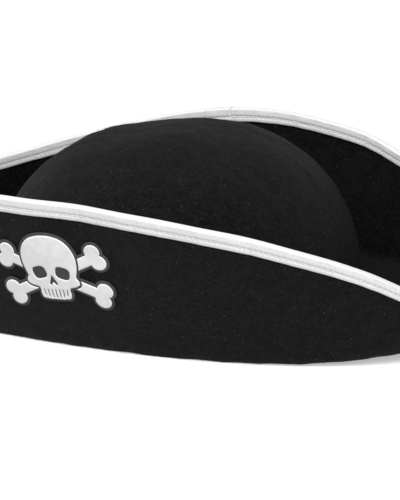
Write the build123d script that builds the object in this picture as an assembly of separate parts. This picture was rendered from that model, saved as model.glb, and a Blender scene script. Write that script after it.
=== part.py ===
"""A felt pirate hat: an oval blocked crown, a brim turned up at the front and the
back, a white tape bound over the brim's edge, a badge on the front flap, and a
sweatband with a care label inside the crown.

The origin is the centre of the head opening, on the plane that the hat rests on.
The front of the hat faces -Y, +X runs from tip to tip and +Z is up. Left and right
are as seen from the front. Lengths are in millimetres, and angles go round the
brim from +X towards the back.
"""

import os
from math import acos, cos, degrees, pi, radians, sin, sqrt

from build123d import *

# Felt hood: the crown, outside measures
CROWN_HALF_WIDTH = 88.0
CROWN_HALF_DEPTH = 104.0
CROWN_HEIGHT = 85.0
CROWN_FULLNESS = 2.25  # the exponent of the dome's curve, where 2 is an ellipse
CROWN_WALL_FOOT = 4.0  # the wall is upright up to here
FELT = 2.2
BRIM_SEAT_GAP = 0.8  # between the crown's wall and the brim's inner rim

# Felt hood: the brim
SIDE_BRIM = 106.0  # from the crown out to the end of the fold, at each tip
END_TROUGH = 6.0  # from the crown out to the fold, at the front and the back
TIP_LIP = 3.0  # from the end of the fold out to the brim's edge
FOLD_FULLNESS = 2.08
FOLD_ROUNDING = 8.0
TIP_RISE = 22.0
TIP_RISE_POWER = 5.3
TIP_HEIGHT = 25.0

# Flaps
FRONT_HEIGHT = 74.5
FRONT_LEAN = 22.0  # how far the front edge stands out beyond its fold
FRONT_FULLNESS = 2.4
FRONT_ROUNDNESS = 0.58
FRONT_PROFILE = [(0, 1), (0.2, 0.98), (0.4, 0.89), (0.6, 0.73), (0.75, 0.49), (0.88, 0.15), (1, 0)]
BACK_HEIGHT = 73.5
BACK_LEAN = -6.0
BACK_FULLNESS = 2.25
BACK_ROUNDNESS = 0.75
BACK_PROFILE = [(0, 1), (0.2, 0.93), (0.4, 0.74), (0.6, 0.5), (0.75, 0.3), (0.88, 0.12), (1, 0)]
FLAP_HALF_LENGTH = 84.0  # the stretch of each flap that bends as one panel
FLAP_SIDE_GAP = 0.6
FLAP_FOOT_GAP = 1.4  # at the middle of the fold, where the felt flexes
FLAP_FOOT_RELIEF = 0.32  # how much the gap grows for each millimetre behind the axis

# Binding tape, folded over the brim's edge
TAPE_WIDTH = 7.5  # on each face of the felt
TAPE = 0.8
TAPE_CLEARANCE = 0.12
TAPE_JOIN_LENGTH = 14.0
TAPE_JOIN_PLACE = -32.0
THREAD = 0.5
THREAD_CLEARANCE = 0.45
THREAD_INSET = 4.3  # from the felt's edge to the row of stitches

# Badge on the front flap
BADGE_HEIGHT_SHARE = 0.55  # its centre, as a share of the flap up to the tape
BADGE_TILT = 4.0
BADGE_SHIFT = 3.0  # towards the right tip
BADGE_SHEET = 0.5
BADGE_PRINT = 0.7
BADGE_CLEARANCE = 0.4
PRINT_CLEARANCE = 0.1
BADGE_MARGIN = 1.6
SKULL_WIDTH = 31.0
SKULL_HEIGHT = 33.5
BONE_SPAN = 53.0
BONE_ANGLE = 24.0
BONE_WIDTH = 6.4
BONE_GAP = 1.1

# Sweatband and care label
BAND_HEIGHT = 28.0
BAND = 0.8
BAND_FOOT = 4.0
BAND_CLEARANCE = 0.15
BAND_HOLLOW = 1.1  # between a flat stretch of the band and the thread that rounds it
BAND_JOIN_LENGTH = 16.0
BAND_JOIN_PLACE = -46.0
BAND_THREAD_HEIGHT = 4.5  # above the band's lower edge
LABEL_WIDTH = 22.0
LABEL_DROP = 20.0
LABEL = 0.5
LABEL_CLEARANCE = 0.6

# Worked out from the sizes above
FOLD_HALF_LENGTH = CROWN_HALF_WIDTH + SIDE_BRIM
FOLD_HALF_DEPTH = CROWN_HALF_DEPTH + END_TROUGH
EDGE_HALF_LENGTH = FOLD_HALF_LENGTH + TIP_LIP
HALF_FELT = FELT / 2
TAPE_INSIDE = HALF_FELT + TAPE_CLEARANCE
TAPE_OUTSIDE = TAPE_INSIDE + TAPE
FRONT = -1
BACK = 1

# How finely the felt is divided
ANGLE_STEP = 12.0
CROWN_SHARES = (0.55, 0.75, 0.9, 0.98, 1)  # above the sweatband
LINE_STEPS = 24
NORMAL_STEP = 0.004
FLATNESS = 1e-8


def along(profile, at):
    """The smooth curve through a profile's points, level at its first point."""
    slopes = [(b[1] - a[1]) / (b[0] - a[0]) for a, b in zip(profile, profile[1:])]
    middles = [(a + b) / 2 for a, b in zip(slopes, slopes[1:])]
    tangents = [0.0, *middles, slopes[-1]]
    i = min(sum(1 for p in profile[1:] if p[0] < at), len(slopes) - 1)
    (x0, y0), (x1, y1) = profile[i], profile[i + 1]
    span = x1 - x0
    t = (at - x0) / span
    rise = (y1 - y0) * (3 * t**2 - 2 * t**3)
    start = span * tangents[i] * (t - 2 * t**2 + t**3)
    end = span * tangents[i + 1] * (t**3 - t**2)
    return y0 + rise + start + end


def floor_height(x):
    """The middle of the felt in the trough: level, then rising to the tips."""
    share = min(abs(x) / FOLD_HALF_LENGTH, 1.0)
    return HALF_FELT + TIP_RISE * share**TIP_RISE_POWER


def fold_point(angle):
    """The corner where the trough would meet the flap, in the middle of the felt."""
    share = abs(cos(angle))
    side = FRONT if sin(angle) < 0 else BACK
    depth = FOLD_HALF_DEPTH * sqrt(max(0.0, 1 - share**FOLD_FULLNESS))
    x = FOLD_HALF_LENGTH * cos(angle)
    return Vector(x, side * depth, floor_height(x))


def edge_point(angle):
    """The brim's edge, in the middle of the felt."""
    share = abs(cos(angle))
    if sin(angle) < 0:
        reach = FOLD_HALF_DEPTH + FRONT_LEAN
        y = FRONT * reach * max(0.0, 1 - share**FRONT_FULLNESS) ** FRONT_ROUNDNESS
        rise = (FRONT_HEIGHT - TIP_HEIGHT) * along(FRONT_PROFILE, share)
    else:
        reach = FOLD_HALF_DEPTH + BACK_LEAN
        y = BACK * reach * max(0.0, 1 - share**BACK_FULLNESS) ** BACK_ROUNDNESS
        rise = (BACK_HEIGHT - TIP_HEIGHT) * along(BACK_PROFILE, share)
    return Vector(EDGE_HALF_LENGTH * cos(angle), y, TIP_HEIGHT + rise)


def felt_line(angle):
    """The felt's middle line from the brim's inner rim out to its edge, as points.

    It runs along the trough, turns up round the fold and climbs the flap. Also
    returns how many of its points lie before the fold and before the flap.
    """
    rim = Vector(CROWN_HALF_WIDTH * cos(angle), CROWN_HALF_DEPTH * sin(angle))
    foot = rim + rim.normalized() * BRIM_SEAT_GAP
    corner = fold_point(angle)
    edge = edge_point(angle)
    trough = Vector(corner.X - foot.X, corner.Y - foot.Y)
    wall = edge - corner
    level_share = 1 - min(FOLD_ROUNDING / trough.length, 0.85)
    wall_share = min(FOLD_ROUNDING / wall.length, 0.45)

    def on_trough(share):
        p = foot + trough * share
        return Vector(p.X, p.Y, floor_height(p.X))

    steps = [i / LINE_STEPS for i in range(LINE_STEPS + 1)]
    before = on_trough(level_share)
    after = corner + wall * wall_share
    level = [on_trough(level_share * t) for t in steps]
    turn = [before * (1 - t) ** 2 + corner * (2 * t * (1 - t)) + after * t**2 for t in steps]
    climb = [after + (edge - after) * t for t in steps]
    return level + turn[1:] + climb[1:]


def lengths_along(points):
    """How far along a line each of its points lies."""
    so_far = [0.0]
    for a, b in zip(points, points[1:]):
        so_far.append(so_far[-1] + (b - a).length)
    return so_far


def place_along(points, so_far, length):
    """The point a given length along a line, or past its end in a straight line."""
    i = min(sum(1 for s in so_far[1:-1] if s < length), len(points) - 2)
    share = (length - so_far[i]) / (so_far[i + 1] - so_far[i])
    return points[i] + (points[i + 1] - points[i]) * share


def anchors(angle, so_far):
    """The lengths at which the felt's stations 0 to 5 lie.

    They are the rim, the start and end of the fold's rounding, the flap's foot, the
    tape's inner edge and the felt's edge. Near the tips the flap is narrower than
    the tape, so there the stations crowd together before the tape's edge.
    """
    total = so_far[-1]
    tape = total - TAPE_WIDTH
    behind = abs(fold_point(-pi / 2).Y) - abs(fold_point(angle).Y)
    gap = FLAP_FOOT_GAP + FLAP_FOOT_RELIEF * behind
    start = min(so_far[LINE_STEPS], 0.7 * tape)
    end = min(so_far[2 * LINE_STEPS], 0.85 * tape)
    foot = min(so_far[2 * LINE_STEPS] + gap, 0.95 * tape)
    return [0.0, start, end, foot, tape, total]


def felt_point(angle, station, beyond=0.0):
    """A point of the felt's middle surface, or a length beyond its edge."""
    points = felt_line(angle)
    so_far = lengths_along(points)
    marks = anchors(angle, so_far)
    i = min(int(station), 4)
    length = marks[i] + (marks[i + 1] - marks[i]) * (station - i)
    return place_along(points, so_far, length + beyond)


def felt_normal(angle, station):
    """The felt's direction outwards: down under the trough and out from a flap."""
    before = felt_point(angle - NORMAL_STEP, station)
    after = felt_point(angle + NORMAL_STEP, station)
    inner = felt_point(angle, max(station - 0.06, 0))
    outer = felt_point(angle, min(station + 0.06, 5))
    return (after - before).cross(outer - inner).normalized()


def lattice(spots, keep=lambda i, j, k: True, closed=False):
    """One solid made of the cells of a lattice of points.

    spots[i][j][k] are the points, i running round the hat, j up or out and k through
    the thickness. keep(i, j, k) says whether a cell is part of the solid, and closed
    joins the last i to the first.
    """
    count = len(spots)
    walls = {}
    for i in range(count if closed else count - 1):
        for j in range(len(spots[0]) - 1):
            for k in range(len(spots[0][0]) - 1):
                if keep(i, j, k):
                    for wall in cell_walls(i, (i + 1) % count, j, k):
                        walls.setdefault(frozenset(wall), []).append(wall)
    outside = [found[0] for found in walls.values() if len(found) == 1]
    faces = []
    for wall in outside:
        faces += flat_faces([spots[i][j][k] for i, j, k in wall])
    return Solid(Shell(faces))


def felt_block(angles, stations, lifts, **options):
    """A lattice laid along the felt.

    A station is a pair of a felt station and a length beyond the edge, and a lift is
    a distance off the middle of the felt.
    """
    spots = []
    for angle in angles:
        rows = []
        for station, beyond in stations:
            middle = felt_point(angle, station, beyond)
            normal = felt_normal(angle, station)
            rows.append([middle + normal * lift for lift in lifts])
        spots.append(rows)
    return lattice(spots, **options)


def cell_walls(i, n, j, k):
    """The six walls of a lattice cell, each as its four corners in order."""
    return [
        [(i, j, k), (n, j, k), (n, j + 1, k), (i, j + 1, k)],
        [(i, j, k + 1), (n, j, k + 1), (n, j + 1, k + 1), (i, j + 1, k + 1)],
        [(i, j, k), (n, j, k), (n, j, k + 1), (i, j, k + 1)],
        [(i, j + 1, k), (n, j + 1, k), (n, j + 1, k + 1), (i, j + 1, k + 1)],
        [(i, j, k), (i, j + 1, k), (i, j + 1, k + 1), (i, j, k + 1)],
        [(n, j, k), (n, j + 1, k), (n, j + 1, k + 1), (n, j, k + 1)],
    ]


def flat_faces(corners):
    """A wall as one flat face where its corners lie in a plane, or else as two."""
    ends = corners[1:] + corners[:1]
    corners = [c for c, following in zip(corners, ends) if (following - c).length > FLATNESS]
    if len(corners) < 3:
        return []
    if len(corners) == 3:
        return [Face(Wire.make_polygon(corners))]
    a, b, c, d = corners
    normal = (b - a).cross(c - a).normalized()
    if abs(normal.dot(d - a)) < FLATNESS:
        return [Face(Wire.make_polygon(corners))]
    return [Face(Wire.make_polygon([a, b, c])), Face(Wire.make_polygon([a, c, d]))]


def angle_at(x, side):
    """The angle at which the brim's edge crosses a place along the hat."""
    return side * acos(x / EDGE_HALF_LENGTH)


def angles_between(start, end):
    """Angles from start to end, evenly spaced."""
    steps = max(2, round(degrees(end - start) / ANGLE_STEP))
    return [start + (end - start) * i / steps for i in range(steps + 1)]


def flap_angles(side):
    """The angles of a flap's panel, with the ends of the tape's join at the back."""
    ends = sorted([angle_at(-FLAP_HALF_LENGTH, side), angle_at(FLAP_HALF_LENGTH, side)])
    if side == FRONT:
        return angles_between(*ends)
    near, far = join_angles()
    return angles_between(ends[0], near) + [far] + angles_between(far, ends[1])[1:]


def join_angles():
    """The angles between which the tape's ends lap over each other."""
    near = angle_at(TAPE_JOIN_PLACE + TAPE_JOIN_LENGTH / 2, BACK)
    far = angle_at(TAPE_JOIN_PLACE - TAPE_JOIN_LENGTH / 2, BACK)
    return near, far


def tip_angles(middle):
    """The angles round a tip, from the front panel's gap to the back panel's."""
    reach = acos((FLAP_HALF_LENGTH + FLAP_SIDE_GAP) / EDGE_HALF_LENGTH)
    return angles_between(middle - reach, middle + reach)


def dome_point(angle, inset, share):
    """A point inset from the crown's outside, at a share of the climb to its top."""
    climb = CROWN_HEIGHT - CROWN_WALL_FOOT - inset
    narrowing = (1 - share**CROWN_FULLNESS) ** (1 / CROWN_FULLNESS)
    x = (CROWN_HALF_WIDTH - inset) * narrowing * cos(angle)
    y = (CROWN_HALF_DEPTH - inset) * narrowing * sin(angle)
    return Vector(x, y, CROWN_WALL_FOOT + climb * share)


def round_angles():
    """The angles all the way round the crown, without the last, which is the first."""
    steps = round(360 / ANGLE_STEP)
    return [2 * pi * i / steps for i in range(steps)]


def climb_share(height, inset):
    """The share of the climb to the crown's top at which a height lies."""
    return max(0.0, (height - CROWN_WALL_FOOT) / (CROWN_HEIGHT - CROWN_WALL_FOOT - inset))


def make_crown():
    """The dome: a shell of felt, open below."""
    band_share = climb_share(BAND_FOOT + BAND_HEIGHT, FELT)
    spots = []
    for angle in round_angles():
        rows = []
        for share in (0, band_share, *CROWN_SHARES):
            rows.append([dome_point(angle, inset, share) for inset in (FELT, 0)])
        foot = [Vector(p.X, p.Y, 0) for p in rows[0]]
        spots.append([foot, *rows])
    return lattice(spots, closed=True)


def make_brim():
    """The trough round the crown and both turned-up tips, in one piece of felt."""
    right, left = tip_angles(0), tip_angles(pi)
    front, back = flap_angles(FRONT), flap_angles(BACK)
    angles = right + back + left + [a + 2 * pi for a in front]
    in_tip = [True] * len(angles)
    for i in range(len(right) - 1, len(right) + len(back)):
        in_tip[i] = False
    for i in range(len(right) + len(back) + len(left) - 1, len(angles)):
        in_tip[i] = False
    stations = [(s, 0) for s in (0, 1, 1.5, 2, 3, 4, 4.5, 5)]
    flap_foot = 3  # the station line where the flaps part from the brim

    def keep(i, j, k):
        return in_tip[i] or j < flap_foot

    return felt_block(angles, stations, [-HALF_FELT, HALF_FELT], keep=keep, closed=True)


def make_flap(side):
    """The panel of felt that stands up from the fold at the front or the back."""
    stations = [(s, 0) for s in (3, 4, 4.5, 5)]
    return felt_block(flap_angles(side), stations, [-HALF_FELT, HALF_FELT])


def make_tape(angles, inside, outside):
    """Tape folded over the felt's edge: a leg on each face, and a bridge over both."""
    over = inside - HALF_FELT
    stations = [(s, 0) for s in (4, 4.5, 5)]
    stations += [(5, over), (5, over + outside - inside)]
    bridge = len(stations) - 2

    def keep(i, j, k):
        return j == bridge or k != 1

    return felt_block(angles, stations, [-outside, -inside, inside, outside], keep=keep)


def make_seam(angles):
    """The row of stitches through the tape, as one line of thread on each face."""
    near = 5 - (THREAD_INSET + THREAD / 2) / TAPE_WIDTH
    far = 5 - (THREAD_INSET - THREAD / 2) / TAPE_WIDTH
    low = TAPE_OUTSIDE + THREAD_CLEARANCE
    high = low + THREAD
    stations = [(near, 0), (far, 0)]
    outer = felt_block(angles, stations, [low, high])
    inner = felt_block(angles, stations, [-high, -low])
    return [outer, inner]


def skull_outline(margin=0.0):
    """The skull's outline in the badge's plane, or one a margin larger all round."""
    w, h, m = SKULL_WIDTH, SKULL_HEIGHT, margin
    cranium = Pos(0, 0.14 * h) * Ellipse(0.5 * w + m, 0.36 * h + m)
    cheek = RectangleRounded(0.8 * w + 2 * m, 0.26 * h + 2 * m, 0.09 * h + m)
    jaw = RectangleRounded(0.52 * w + 2 * m, 0.36 * h + 2 * m, 0.08 * h + m)
    return cranium + Pos(0, -0.13 * h) * cheek + Pos(0, -0.32 * h) * jaw


def skull_holes():
    """The eyes, the nose and the slits between the teeth."""
    w, h = SKULL_WIDTH, SKULL_HEIGHT
    eye = RectangleRounded(0.26 * w, 0.2 * h, 0.08 * h)
    holes = Pos(0, -0.16 * h) * Triangle(a=0.17 * w, B=62, C=62)
    for side in (-1, 1):
        holes += Pos(side * 0.21 * w, -0.01 * h) * Rot(0, 0, -12 * side) * eye
    for i in (-1, 0, 1):
        holes += Pos(0.13 * w * i, -0.42 * h) * Rectangle(0.028 * w, 0.15 * h)
    return holes


def bones_outline(margin=0.0):
    """Two crossed bones, each a bar with two round knobs at either end."""
    knob = 0.62 * BONE_WIDTH
    bone = Rectangle(BONE_SPAN, knob + 2 * margin)
    for end in (-1, 1):
        for side in (-1, 1):
            bone += Pos(end * BONE_SPAN / 2, side * 0.72 * knob) * Circle(knob + margin)
    crossed = Rot(0, 0, BONE_ANGLE) * bone + Rot(0, 0, -BONE_ANGLE) * bone
    return Pos(0, -0.14 * SKULL_HEIGHT) * crossed


def badge_plane():
    """The plane that touches the front flap's outside at the badge's centre."""
    station = 3 + BADGE_HEIGHT_SHARE
    normal = felt_normal(-pi / 2, station)
    return Plane(felt_point(-pi / 2, station), x_dir=(1, 0, 0), z_dir=normal)


def flap_radius():
    """The radius of the front flap's outside, across the badge."""
    station = 3 + BADGE_HEIGHT_SHARE
    end = felt_point(angle_at(BONE_SPAN / 2, FRONT), station)
    sagitta = end.Y - felt_point(-pi / 2, station).Y
    return (end.X**2 + sagitta**2) / (2 * sagitta)


def pressed_on_flap(shape, low, high):
    """A flat shape bent round the front flap, between two heights off the felt."""
    radius = flap_radius()
    height = 2 * SKULL_HEIGHT
    bend = Cylinder(radius + high, height) - Cylinder(radius + low, height)
    bend = Pos(0, 0, -radius) * Rot(90, 0, 0) * bend
    placed = Pos(BADGE_SHIFT, 0) * Rot(0, 0, BADGE_TILT) * shape
    cutter = extrude(placed, amount=BONE_SPAN, both=True)
    front = Pos(0, 0, radius / 2) * Box(2 * BONE_SPAN, height, 2 * radius)
    return badge_plane() * (bend & front & cutter)


def make_badge():
    """The badge's dark backing, its skull and its four bone ends."""
    skull = skull_outline()
    bones = bones_outline()
    backing = skull_outline(BADGE_MARGIN) + bones_outline(BADGE_MARGIN)
    sheet_foot = HALF_FELT + BADGE_CLEARANCE
    sheet_top = sheet_foot + BADGE_SHEET
    print_foot = sheet_top + PRINT_CLEARANCE
    print_top = print_foot + BADGE_PRINT
    bone_ends = bones - skull_outline(BONE_GAP)
    return {
        "badge_backing": pressed_on_flap(backing, sheet_foot, sheet_top),
        "badge_skull": pressed_on_flap(skull - skull_holes(), print_foot, print_top),
        "badge_bones": pressed_on_flap(bone_ends, print_foot, print_top),
    }


def make_band(inset, thickness, low, high, angles, closed=False):
    """A strip that follows the crown's inside between two heights."""
    spots = []
    for angle in angles:
        rows = []
        for height in (low, high):
            insets = (inset + thickness, inset)
            rows.append([dome_point(angle, i, climb_share(height, i)) for i in insets])
        spots.append(rows)
    return lattice(spots, closed=closed)


def make_sweatband():
    """The sweatband, the lap where its ends meet, and the thread along its foot."""
    top = BAND_FOOT + BAND_HEIGHT
    inset = FELT + BAND_CLEARANCE
    inner = inset + BAND + BAND_CLEARANCE + BAND_HOLLOW
    seam = BAND_FOOT + BAND_THREAD_HEIGHT
    middle = acos(BAND_JOIN_PLACE / CROWN_HALF_WIDTH)
    reach = BAND_JOIN_LENGTH / 2 / CROWN_HALF_DEPTH
    lap = angles_between(middle - reach, middle + reach)
    clear = reach + BAND_CLEARANCE / CROWN_HALF_WIDTH
    run = angles_between(middle + clear, middle - clear + 2 * pi)
    return {
        "sweatband": make_band(inset, BAND, BAND_FOOT, top, round_angles(), closed=True),
        "sweatband_join": make_band(inner, BAND, BAND_FOOT, top, lap),
        "sweatband_thread": make_band(inner, THREAD, seam - THREAD / 2, seam + THREAD / 2, run),
    }


def label_face():
    """The middle of the label's thickness, where it hangs inside the band's back."""
    band_inside = FELT + BAND_CLEARANCE + BAND
    top = climb_share(BAND_FOOT + BAND_HEIGHT, band_inside)
    wall = dome_point(pi / 2, band_inside, top).Y
    beside = dome_point(pi / 2 - radians(ANGLE_STEP), band_inside, top)
    hollow = LABEL_WIDTH / 2 * (wall - beside.Y) / beside.X
    return wall - hollow - LABEL_CLEARANCE - LABEL / 2


def make_care_label():
    """A blank satin label that hangs from the band's upper edge, at the back."""
    top = BAND_FOOT + BAND_HEIGHT
    place = Pos(0, label_face(), top - LABEL_DROP / 2)
    return place * Box(LABEL_WIDTH, LABEL, LABEL_DROP)


def make_bindings():
    """The tape round the whole edge, its join, and the stitches that hold it."""
    front, back = flap_angles(FRONT), flap_angles(BACK)
    right, left = tip_angles(0), tip_angles(pi)
    near, far = join_angles()
    before = [a for a in back if a <= near]
    after = [a for a in back if a >= far]
    lap_inside = TAPE_OUTSIDE + TAPE_CLEARANCE
    return {
        "front_binding": make_tape(front, TAPE_INSIDE, TAPE_OUTSIDE),
        "back_binding": make_tape(back, TAPE_INSIDE, TAPE_OUTSIDE),
        "right_tip_binding": make_tape(right, TAPE_INSIDE, TAPE_OUTSIDE),
        "left_tip_binding": make_tape(left, TAPE_INSIDE, TAPE_OUTSIDE),
        "binding_join": make_tape([near, far], lap_inside, lap_inside + TAPE),
        "front_seam_thread": make_seam(front),
        "back_seam_thread": make_seam(before) + make_seam(after),
        "right_tip_seam_thread": make_seam(right),
        "left_tip_seam_thread": make_seam(left),
    }


def make_hat():
    """Every node of the hat, by name."""
    return {
        "crown": make_crown(),
        "brim": make_brim(),
        "front_flap": make_flap(FRONT),
        "back_flap": make_flap(BACK),
        **make_bindings(),
        **make_badge(),
        **make_sweatband(),
        "care_label": make_care_label(),
    }


if __name__ == "__main__":
    os.makedirs("parts", exist_ok=True)
    for name, shape in make_hat().items():
        solids = shape if isinstance(shape, list) else shape.solids()
        whole = solids[0] if len(solids) == 1 else Compound(children=list(solids))
        export_step(whole, f"parts/{name}.step")
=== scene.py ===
"""Dresses the felt pirate hat: fuzzy black felt, white bound edge, badge and lining.

The hat rests on z = 0 with the centre of its head opening at the origin. The front
faces -Y, +X runs from tip to tip, and left and right are as seen from the front.
Sizes in the classes are in millimetres, and meshes are made in metres.
"""

import logging
import math
from dataclasses import dataclass, field
from enum import Enum
from typing import Callable

import bpy
import numpy as np
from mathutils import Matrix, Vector
from mathutils.geometry import delaunay_2d_cdt


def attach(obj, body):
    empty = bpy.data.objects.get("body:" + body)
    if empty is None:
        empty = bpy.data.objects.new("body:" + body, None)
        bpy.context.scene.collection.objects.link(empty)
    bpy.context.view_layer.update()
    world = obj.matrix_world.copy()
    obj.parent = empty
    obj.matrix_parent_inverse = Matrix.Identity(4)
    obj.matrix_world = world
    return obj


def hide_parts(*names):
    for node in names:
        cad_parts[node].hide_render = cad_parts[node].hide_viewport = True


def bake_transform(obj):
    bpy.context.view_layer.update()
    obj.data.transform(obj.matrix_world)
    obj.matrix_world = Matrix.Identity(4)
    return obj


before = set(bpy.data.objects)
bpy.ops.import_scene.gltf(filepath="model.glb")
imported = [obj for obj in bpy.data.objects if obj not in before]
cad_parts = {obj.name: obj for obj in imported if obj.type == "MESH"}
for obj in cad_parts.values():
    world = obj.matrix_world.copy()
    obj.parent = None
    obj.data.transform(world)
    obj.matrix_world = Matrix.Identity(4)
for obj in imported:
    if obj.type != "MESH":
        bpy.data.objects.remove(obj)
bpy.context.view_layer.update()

logging.basicConfig(level=logging.INFO, format="%(message)s")
LOG = logging.getLogger("hat")
MM = 0.001
SMALL_TURN = 0.003  # a step round the brim for reading its direction, in radians
GROUND = 0.03  # nothing lies lower than this, in millimetres
PATTERN = "pattern"  # the UV map that holds lengths along and across a piece
TUBE_REFERENCE = (0.31, 0.52, 0.79)  # a tube's first side is square to this direction
STITCH_TAPER = (0.75, 1.0, 1.0, 1.0, 0.75)  # a stitch thins where it enters the cloth
TUBE_TIP = 0.6  # how far a tube's end bulges, as a share of its radius
Array = np.ndarray


class Side(Enum):
    """The side of the brim that a piece belongs to, as the sign of its Y."""

    FRONT = -1
    BACK = 1


# ---------------------------------------------------------------- small helpers


def srgb(code: str) -> tuple[float, float, float, float]:
    """Turns an sRGB hex colour into linear values.

    Args:
        code: Six hex digits, such as "d8d8d8".

    Returns:
        Red, green, blue and an alpha of one.
    """
    values = [int(code[i : i + 2], 16) / 255 for i in (0, 2, 4)]
    linear = [v / 12.92 if v <= 0.04045 else ((v + 0.055) / 1.055) ** 2.4 for v in values]
    return (*linear, 1.0)


def smooth(t: Array) -> Array:
    """The smooth step of t, from 0 at 0 to 1 at 1."""
    t = np.clip(t, 0, 1)
    return t * t * (3 - 2 * t)


def waves(points: Array, scale_mm: float, seed: int, count: int = 24) -> Array:
    """A smooth random field: the mean of plane waves in random directions.

    Args:
        points: Places in millimetres, with x, y, z last.
        scale_mm: The typical wavelength.
        seed: Fixes the directions and phases.
        count: How many waves are added.

    Returns:
        One value for each place, mostly between -1 and 1.
    """
    rng = np.random.default_rng(seed)
    turn = rng.normal(size=(count, 3))
    turn /= np.linalg.norm(turn, axis=1, keepdims=True)
    pace = 2 * np.pi / (scale_mm * rng.uniform(0.7, 1.6, count))
    phase = rng.uniform(0, 2 * np.pi, count)
    return np.sin(points @ (turn * pace[:, None]).T + phase).sum(-1) / math.sqrt(count)


def curve_through(profile: tuple[tuple[float, float], ...], at: Array) -> Array:
    """The smooth curve through a profile's points, level at its first point.

    Between two points it is a cubic whose slope at each point is the mean of the
    straight slopes on either side.

    Args:
        profile: The points, with rising x.
        at: The places where the curve is read.

    Returns:
        The curve's height at each place.
    """
    x, y = np.array(profile, float).T
    slope = np.diff(y) / np.diff(x)
    tangent = np.concatenate([[0.0], (slope[1:] + slope[:-1]) / 2, slope[-1:]])
    i = np.clip(np.searchsorted(x, at, side="right") - 1, 0, len(x) - 2)
    span = x[i + 1] - x[i]
    t = (at - x[i]) / span
    rise = (y[i + 1] - y[i]) * (3 * t**2 - 2 * t**3)
    bend = tangent[i] * (t - 2 * t**2 + t**3) + tangent[i + 1] * (t**3 - t**2)
    return y[i] + rise + span * bend


def unit(v: Array) -> Array:
    """Vectors brought to length one."""
    return v / np.maximum(np.linalg.norm(v, axis=-1, keepdims=True), 1e-12)


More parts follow.
